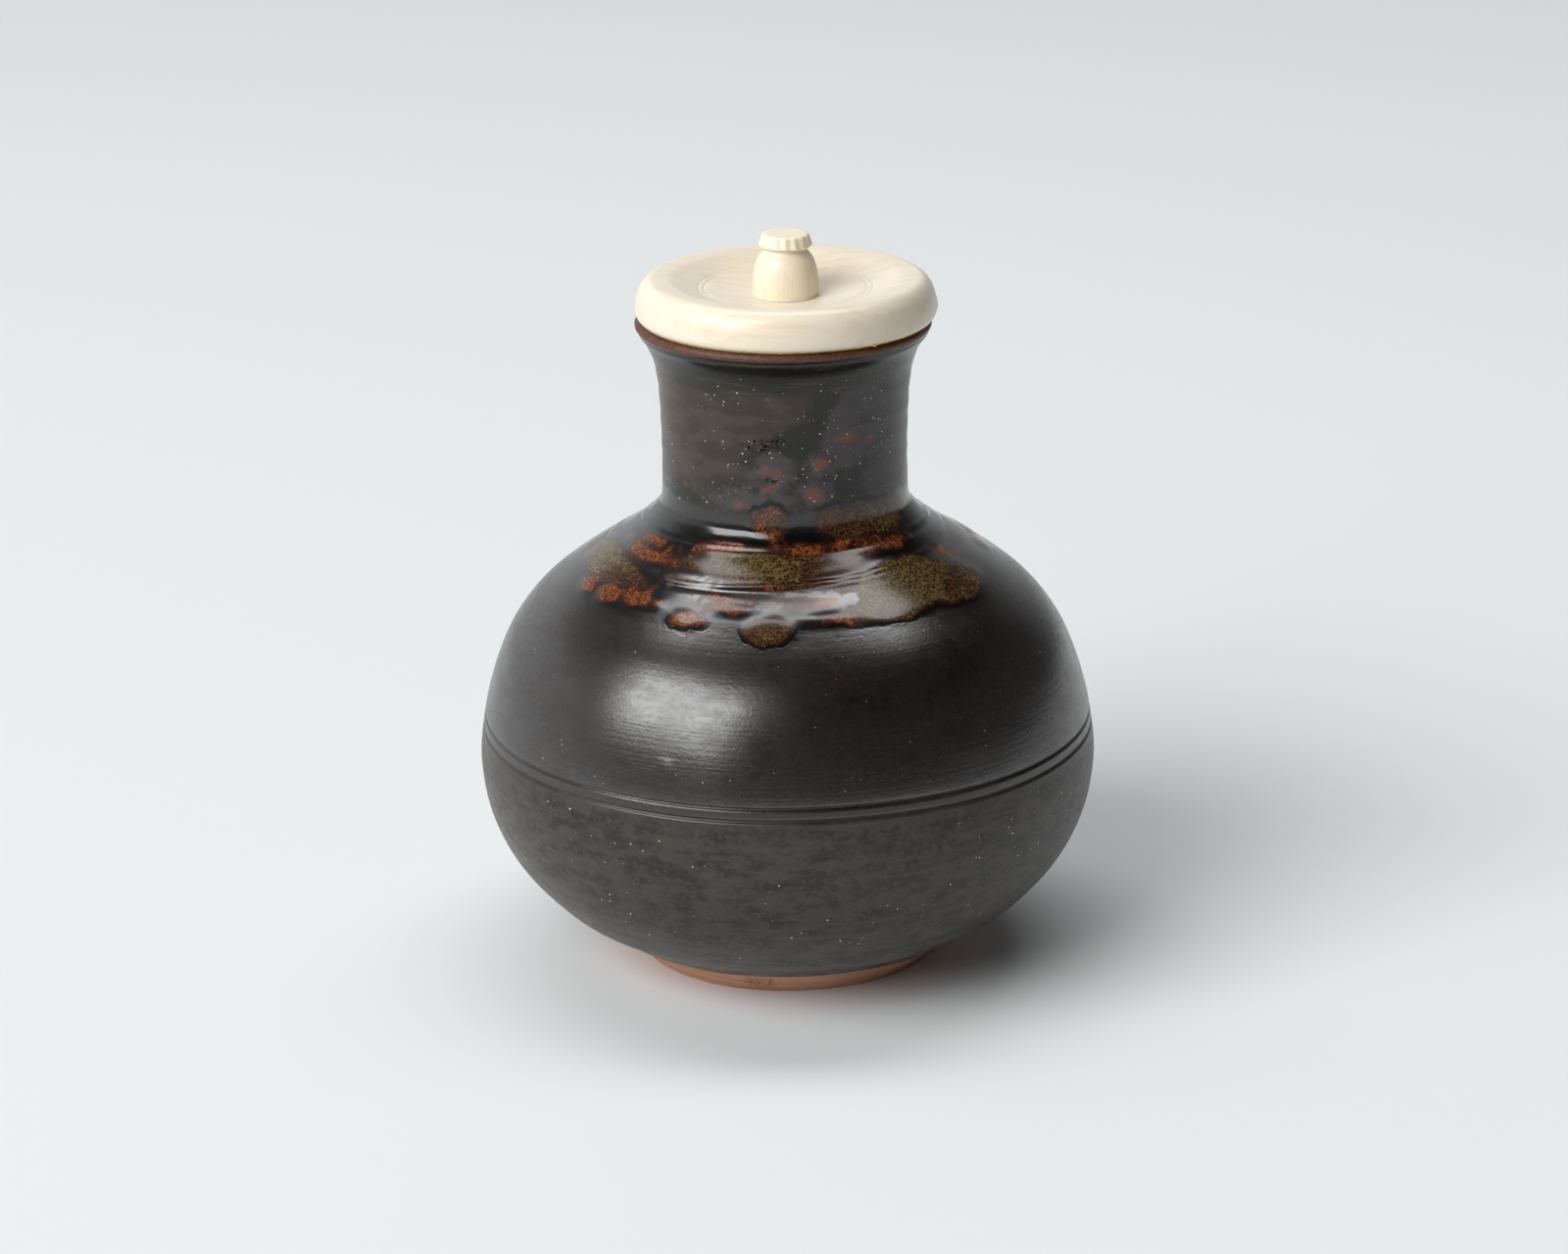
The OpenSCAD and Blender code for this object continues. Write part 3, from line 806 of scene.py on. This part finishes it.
def make_grit_finish():
    finish, tree = new_finish("fused_grit", IOR=1.5, Roughness=0.35)
    look = {"colour": chip("#8a8376")}
    lay_over(tree, look, mask(tree, grain(tree, 0.6, 1.0, seed=51.0), 0.4, 0.6), "#cfc8b8")
    tree.links.new(look["colour"], tree.nodes["Principled BSDF"].inputs["Base Color"])
    return finish


def glaze_band(low, high):
    """A copy of the glaze's outer skin between two heights, in mm, to scatter on."""
    faces = []
    for polygon in glaze.data.polygons:
        middle = polygon.center / MM
        outward = Vector((middle.x, middle.y, 0)).normalized()
        if low < middle.z < high and polygon.normal.dot(outward) > 0.2:
            faces.append(tuple(polygon.vertices))
    used = sorted({i for face in faces for i in face})
    place = {old: new for new, old in enumerate(used)}
    points = [glaze.data.vertices[i].co for i in used]
    mesh = bpy.data.meshes.new("grit_ground")
    mesh.from_pydata(points, [], [tuple(place[i] for i in face) for face in faces])
    return shown("grit_ground", mesh)


grit_tree, grit_ports = build_grit_tree()
grit_finish = make_grit_finish()
GRIT = [
    # name, lowest and highest in mm, grains per square cm, smallest and largest in mm, seed
    ("grit_lower_belly", 5.0, 25.0, 5.0, 0.04, 0.13, 3),
    ("grit_upper_belly", 28.5, 43.0, 3.5, 0.03, 0.085, 5),
    ("grit_neck", 53.5, 69.0, 30.0, 0.035, 0.11, 8),
]
for name, low, high, per_cm2, smallest, largest, seed in GRIT:
    grit = baked(name, glaze_band(low, high), grit_tree, {
        grit_ports["Grains per square metre"]: per_cm2 * 10000, grit_ports["Seed"]: seed,
        grit_ports["Drifts per metre"]: 120.0,
        grit_ports["Smallest grain"]: smallest * MM, grit_ports["Largest grain"]: largest * MM,
        grit_ports["Finish"]: grit_finish})
    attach(grit, "jar")
    print(f"{name}: {len(grit.data.polygons)} faces")

# %% [markdown]
# ## Ivory-like lid
# The blank is dense, slightly see-through and cream, with a faint grain that runs level through the
# plate and upright through the knob, yellower where hands have held it. It is turned, then polished
# to a soft shine. Light spreads under its surface, so it gets a little subsurface scattering with a
# warm colour, and an IOR of 1.54.

# %% Make the two ivory finishes
def make_ivory(name, stretch, tint, seed):
    finish, tree = new_finish(name, IOR=1.54, Subsurface_Weight=0.35, Subsurface_Scale=1.1 * MM,
                              Subsurface_Radius=(1.0, 0.62, 0.36))
    lines = grain(tree, 1.0, 3.0, stretch, seed=seed, rough=0.6)
    fine = grain(tree, 2.2, 2.0, stretch, seed=seed + 1, rough=0.6)
    cloudy = grain(tree, 0.09, 2.0, seed=seed + 2)
    look = {"colour": chip(tint), "roughness": 0.3}
    lay_over(tree, look, mask(tree, cloudy, 0.42, 0.68, 0.0, 0.5), "#e6d8bc")
    lay_over(tree, look, mask(tree, lines, 0.46, 0.72, 0.0, 0.3), "#cfb58c")
    lay_over(tree, look, mask(tree, fine, 0.52, 0.72, 0.0, 0.12), "#c9b087", 0.34)
    return finished(finish, look, lines, 0.25, 0.04)


plate_gauge = Calipers("lid_plate")
knob_gauge = Calipers("lid_knob")
lid_axis = plate_gauge.axis
# the plate's cream is a shade darker than the knob's: the same ivory, with painted shade for the plate's
# wide top
shaded_level_ivory = make_ivory("level_grain_shaded_ivory", (0.09, 1.1, 1.1), "#e4dac7", 61.0)
upright_ivory = make_ivory("upright_grain_ivory", (1.3, 1.3, 0.12), "#f2e7d2", 71.0)


# %% [markdown]
# ## The lid plate
# A round edge that is fullest near its foot, a crown, and a dished top with two fine rings cut in
# it. Below, a boss keeps the lid from sliding off the mouth. It is measured, turned on the wheel and
# moved to the lid's own axis, which lies a little to the right of the jar's.

# %% Turn the lid plate
def shifted(piece, across):
    """Moves a piece's mesh along X by so many mm, so its object stays at the origin."""
    piece.data.transform(Matrix.Translation((across * MM, 0, 0)))


RING_RADII = (9.42, 8.85)
RING_DEPTH = 0.1
RING_WIDTH = 0.17
BOSS_HEIGHT = 1.1
PEG_HOLE = 1.52
seat = plate_gauge.low + BOSS_HEIGHT
boss_radius = plate_gauge.outside(plate_gauge.low + BOSS_HEIGHT / 2)
edge_heights = np.arange(seat + 0.02, plate_gauge.high - 0.75, 0.12)
edge = [(plate_gauge.outside(h), h) for h in edge_heights]
top_radii = np.arange(edge[-1][0] - 0.2, knob_gauge.outside(knob_gauge.high - 3) - 1.2, -0.16)
dish = [(r, plate_gauge.top(r)) for r in top_radii]
rounded = eased(edge + dish, 5)
plate_outline = np.concatenate([
    [[PEG_HOLE, dish[-1][1]]], rounded[::-1], [[edge[0][0] - 0.15, seat]],
    [[boss_radius, seat], [boss_radius, plate_gauge.low], [PEG_HOLE, plate_gauge.low]]])
plate = turned("ivory_plate", plate_outline, shaded_level_ivory, 256, closed=True, wobble=0.05, seed=4.0)


def work_plate(piece):
    """Cuts the two rings and leaves the small swelling at the edge's right-hand foot."""
    x, y, z, radius, swing = vertices_of(piece)
    upper = z > seat + 1.0
    for ring in RING_RADII:
        z = z - RING_DEPTH * upper * bell(radius - ring, RING_WIDTH)
    swelling = 0.14 * bell(np.degrees(swing) - 88, 5) * bell(z - seat - 1.1, 0.6) * (radius > 15)
    grow = 1 + swelling / np.maximum(radius, 1)
    put_back(piece, x * grow, y * grow, z)


work_plate(plate)
shifted(plate, lid_axis)
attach(plate, "lid")
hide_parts("lid_plate")

# %% [markdown]
# ## The knob
# A plum-shaped knob: a dome, a narrow waist and a flat cap with a fluted edge. It is a separate piece,
# pegged through the plate. The dome and cap are turned, and the flutes are carved afterwards.

# %% Turn and carve the knob
FLUTES = 16
CAP_HEIGHT = 1.35
plate_top = plate_gauge.top(knob_gauge.outside(knob_gauge.high - 5) - 0.4)
cap_low = knob_gauge.high - CAP_HEIGHT
dome_heights = np.arange(plate_top + 0.06, cap_low - 0.02, 0.1)
dome = eased([(knob_gauge.outside(h), h) for h in dome_heights], 3)
cap_heights = np.arange(cap_low + 0.04, knob_gauge.high - 0.02, 0.08)
cap = [(knob_gauge.outside(h), h) for h in cap_heights]
cap_top = [(cap[-1][0] * share, knob_gauge.high) for share in (0.97, 0.75, 0.5, 0.25, 0.0)]
peg = [(dome[0][0] - 0.05, plate_top), (PEG_HOLE - 0.02, plate_top), (PEG_HOLE - 0.02, plate_gauge.low),
       (0.0, plate_gauge.low)]
waist = [(dome[-1][0], cap_low), (cap[0][0] - 0.15, cap_low)]
knob_outline = np.concatenate([cap_top[::-1], cap[::-1], waist[::-1], dome[::-1], peg])
knob = turned("ivory_knob", knob_outline, upright_ivory, 224, wobble=0.05, seed=9.0)


def carve_flutes(piece):
    """Hollows the flutes round the cap's edge and dips the middle of its top."""
    x, y, z, radius, swing = vertices_of(piece)
    rim = step_up(radius, cap[0][0] - 0.9, cap[0][0] - 0.4) * (z > cap_low - 0.01)
    flute = (0.5 - 0.5 * np.cos(FLUTES * swing)) ** 0.8
    depth = 0.09 + 0.03 * np.sin(3 * swing + 1)
    grow = 1 - rim * depth * flute / np.maximum(radius, 0.5)
    dip = 0.06 * (z > knob_gauge.high - 0.05) * bell(radius, 1.6)
    put_back(piece, x * grow, y * grow, z - dip)


carve_flutes(knob)
shifted(knob, knob_gauge.axis)
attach(knob, "lid")
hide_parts("lid_knob")

# %% [markdown]
# ## Paper and gold leaf
# The lid's underside is lined with thin paper and gold leaf. The two linings keep their CAD shape,
# which is right, and get their finishes here. Gold is a metal, so its colour is in its reflection:
# metallic 1 and the default IOR, with the wrinkles of beaten leaf laid over size.

# %% Finish the two linings
def make_gold_leaf():
    finish, tree = new_finish("gold_leaf_on_size", Metallic=1.0)
    crinkle = grain(tree, 0.5, 5.0, seed=81.0, rough=0.7)
    rubbed = grain(tree, 0.22, 3.0, seed=82.0)
    look = {"colour": chip("#d9ae5c"), "roughness": 0.32}
    lay_over(tree, look, mask(tree, rubbed, 0.45, 0.7), "#c08f3e", 0.45)
    return finished(finish, look, crinkle, 0.5, 0.12)


def make_backing_paper():
    finish, tree = new_finish("handmade_paper", IOR=1.45, Specular_IOR_Level=0.2)
    fibres = grain(tree, 1.6, 4.0, (0.4, 1.2, 1.0), seed=91.0, rough=0.7)
    look = {"colour": chip("#b7a078"), "roughness": 0.85}
    lay_over(tree, look, mask(tree, fibres, 0.45, 0.62), "#96805a", 0.75)
    return finished(finish, look, fibres, 0.4, 0.05)


gold_leaf = make_gold_leaf()
for node, finish in (("gold_leaf", gold_leaf), ("backing_paper", make_backing_paper())):
    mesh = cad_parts[node].data
    mesh.materials.clear()
    mesh.materials.append(finish)

# %% [markdown]
# ## Scraps of leaf at the rim
# Leaf is trimmed by rubbing, so ragged scraps hang out under the lid's edge. A ring of points runs
# round the seat; Geometry Nodes put a small torn flake on most of them, each turned and sized by
# chance from a fixed seed.

# %% Scatter the leaf scraps
def build_scrap_tree():
    tree, names, given = new_tree("leaf_scraps", {
        "Flake": "Geometry", "Ring radius": "Float", "Height": "Float", "Count": "Int",
        "Kept share": "Float", "Seed": "Int", "Finish": "Material"})
    ring = add(tree, "GeometryNodeCurvePrimitiveCircle", {
        "Resolution": given["Count"], "Radius": given["Ring radius"]}).outputs[0]
    lift = add(tree, "ShaderNodeCombineXYZ", {"Z": given["Height"]}).outputs[0]
    raised = add(tree, "GeometryNodeSetPosition", {"Geometry": ring, "Offset": lift}).outputs[0]
    points = add(tree, "GeometryNodeCurveToPoints", {"Curve": raised}, mode="EVALUATED")
    kept = add(tree, "FunctionNodeRandomValue", {
        "Probability": given["Kept share"], "Seed": given["Seed"]}, data_type="BOOLEAN").outputs[3]
    size = add(tree, "FunctionNodeRandomValue", {
        0: (0.4, 0.5, 0.4), 1: (1.6, 1.0, 1.1), "Seed": given["Seed"]},
        data_type="FLOAT_VECTOR").outputs[0]
    tilt = add(tree, "FunctionNodeRandomValue", {
        0: (-0.35, -0.3, -0.25), 1: (0.35, 0.3, 0.25), "Seed": given["Seed"]},
        data_type="FLOAT_VECTOR").outputs[0]
    tilted = add(tree, "FunctionNodeRotateRotation", {
        "Rotation": points.outputs["Rotation"], "Rotate By": tilt}, rotation_space="LOCAL").outputs[0]
    flakes = add(tree, "GeometryNodeInstanceOnPoints", {
        "Points": points.outputs["Points"], "Selection": kept, "Instance": given["Flake"],
        "Rotation": tilted, "Scale": size}).outputs[0]
    close_tree(tree, flakes, given["Finish"])
    return tree, names


def torn_flake():
    """One torn flake, a thin closed plate about a millimetre long, hanging a little below its point."""
    outline = [(-0.55, 0.0), (-0.4, 0.09), (0.1, 0.1), (0.6, 0.05), (0.45, -0.06), (0.2, -0.1),
               (0.05, -0.04), (-0.2, -0.12), (-0.35, -0.05)]
    half = 0.012
    count = len(outline)
    points = [(side, across, along) for side in (half, -half) for along, across in outline]
    faces = [tuple(range(count)), tuple(range(2 * count - 1, count - 1, -1))]
    for i in range(count):
        after = (i + 1) % count
        faces.append((i, i + count, after + count, after))
    mesh = bpy.data.meshes.new("flake")
    mesh.from_pydata([tuple(c * MM for c in p) for p in points], [], faces)
    return shown("flake", mesh)


scrap_tree, scrap_ports = build_scrap_tree()
scraps = baked("leaf_scraps", torn_flake(), scrap_tree, {
    scrap_ports["Ring radius"]: (edge[0][0] - 0.08) * MM, scrap_ports["Height"]: (seat - 0.03) * MM,
    scrap_ports["Count"]: 110, scrap_ports["Kept share"]: 0.35, scrap_ports["Seed"]: 6,
    scrap_ports["Finish"]: gold_leaf})
shifted(scraps, lid_axis)
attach(scraps, "lid")
print(f"leaf scraps: {len(scraps.data.polygons)} faces")

# %% [markdown]
# ## Table and light
# The jar stands on a pale sweep. One large soft light hangs behind and above, a second stands to the
# front left and makes the round highlight on the belly, and the room behind the camera is dim, which
# keeps the dark glaze dark.

# %% Set the table
TABLE_SIZE = 6.0
table_mesh = bpy.data.meshes.new("table")
half = TABLE_SIZE / 2
table_mesh.from_pydata([(-half, -half, 0), (half, -half, 0), (half, half, 0), (-half, half, 0)], [],
                       [(0, 1, 2, 3)])
paper_sweep = new_finish("paper_sweep", Base_Color=chip("#dfe1e2"), Roughness=0.8,
                         Specular_IOR_Level=0.15)[0]
table_mesh.materials.append(paper_sweep)
table = shown("table", table_mesh)

# %% [markdown]
# ## Lights
# Three soft lights, each placed by the direction it shines from, and a room that glows on the far
# left and stays dark elsewhere.

# %% Set the lights
def softbox(name, towards, distance, width, height, power):
    """A soft light seen from the jar's middle at (degrees round from the front, degrees up)."""
    round_by, up_by = (math.radians(a) for a in towards)
    way = Vector((math.sin(round_by) * math.cos(up_by), -math.cos(round_by) * math.cos(up_by),
                  math.sin(up_by)))
    data = bpy.data.lights.new(name, "AREA")
    data.shape = "RECTANGLE"
    data.size, data.size_y = width, height
    data.energy = power
    light = shown(name, data)
    light.location = Vector((0, 0, 0.04)) + way * distance
    light.rotation_euler = (-way).to_track_quat("-Z", "Y").to_euler()
    return light


softbox("key_softbox", (-50, 35), 2.6, 2.15, 1.5, 62.0)
softbox("top_softbox", (180, 77), 1.3, 1.45, 0.44, 8.8)
fill = softbox("fill_softbox", (-40, 38), 3.2, 3.0, 2.4, 34.0)
fill.visible_glossy = False      # it brightens the table only, and leaves the glaze dark

room = bpy.data.worlds.new("room")
room.use_nodes = True
bpy.context.scene.world = room
room_tree = room.node_tree
backdrop = room_tree.nodes["Background"]
direction = add(room_tree, "ShaderNodeTexCoord").outputs["Generated"]
towards = add(room_tree, "ShaderNodeSeparateXYZ", {0: direction}).outputs
behind = add(room_tree, "ShaderNodeVectorMath", {0: direction, 1: (-0.62, 0.79, 0.0)},
             operation="DOT_PRODUCT").outputs["Value"]
far_left = mask(room_tree, behind, 0.0, 0.9, 0.08, 0.85)
glow = mask(room_tree, towards["Z"], 0.6, 0.3, 0.2, 1.0, far_left)
room_tree.links.new(glow, backdrop.inputs["Strength"])
backdrop.inputs["Color"].default_value = chip("#f4f6f8")

bpy.context.scene.view_settings.view_transform = "Standard"
